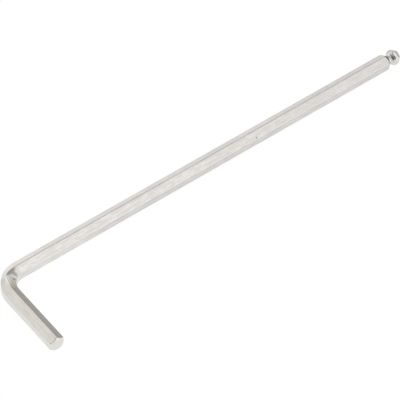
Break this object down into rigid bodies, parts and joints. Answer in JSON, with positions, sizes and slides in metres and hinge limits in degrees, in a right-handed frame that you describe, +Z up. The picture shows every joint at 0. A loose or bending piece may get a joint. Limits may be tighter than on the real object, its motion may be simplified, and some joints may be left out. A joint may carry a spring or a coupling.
{
  "type": "hex key",
  "caption": "Bent hexagonal key with a long ball-ended arm and a short arm with a chamfered flat end.",
  "frame": {"origin": "centre of the box's footprint on the surface that the key lies on", "axes": "+X along the long arm from the bend to the ball, -Y along the short arm from the bend to its end, +Z up from the surface"},
  "size_m": [0.165, 0.033, 0.0057],
  "materials": {
    "plated_steel": "satin nickel plating, drawn along the bar"
  },
  "bodies": {
    "root": {"hex_key": "plated_steel"}
  },
  "joints": []
}
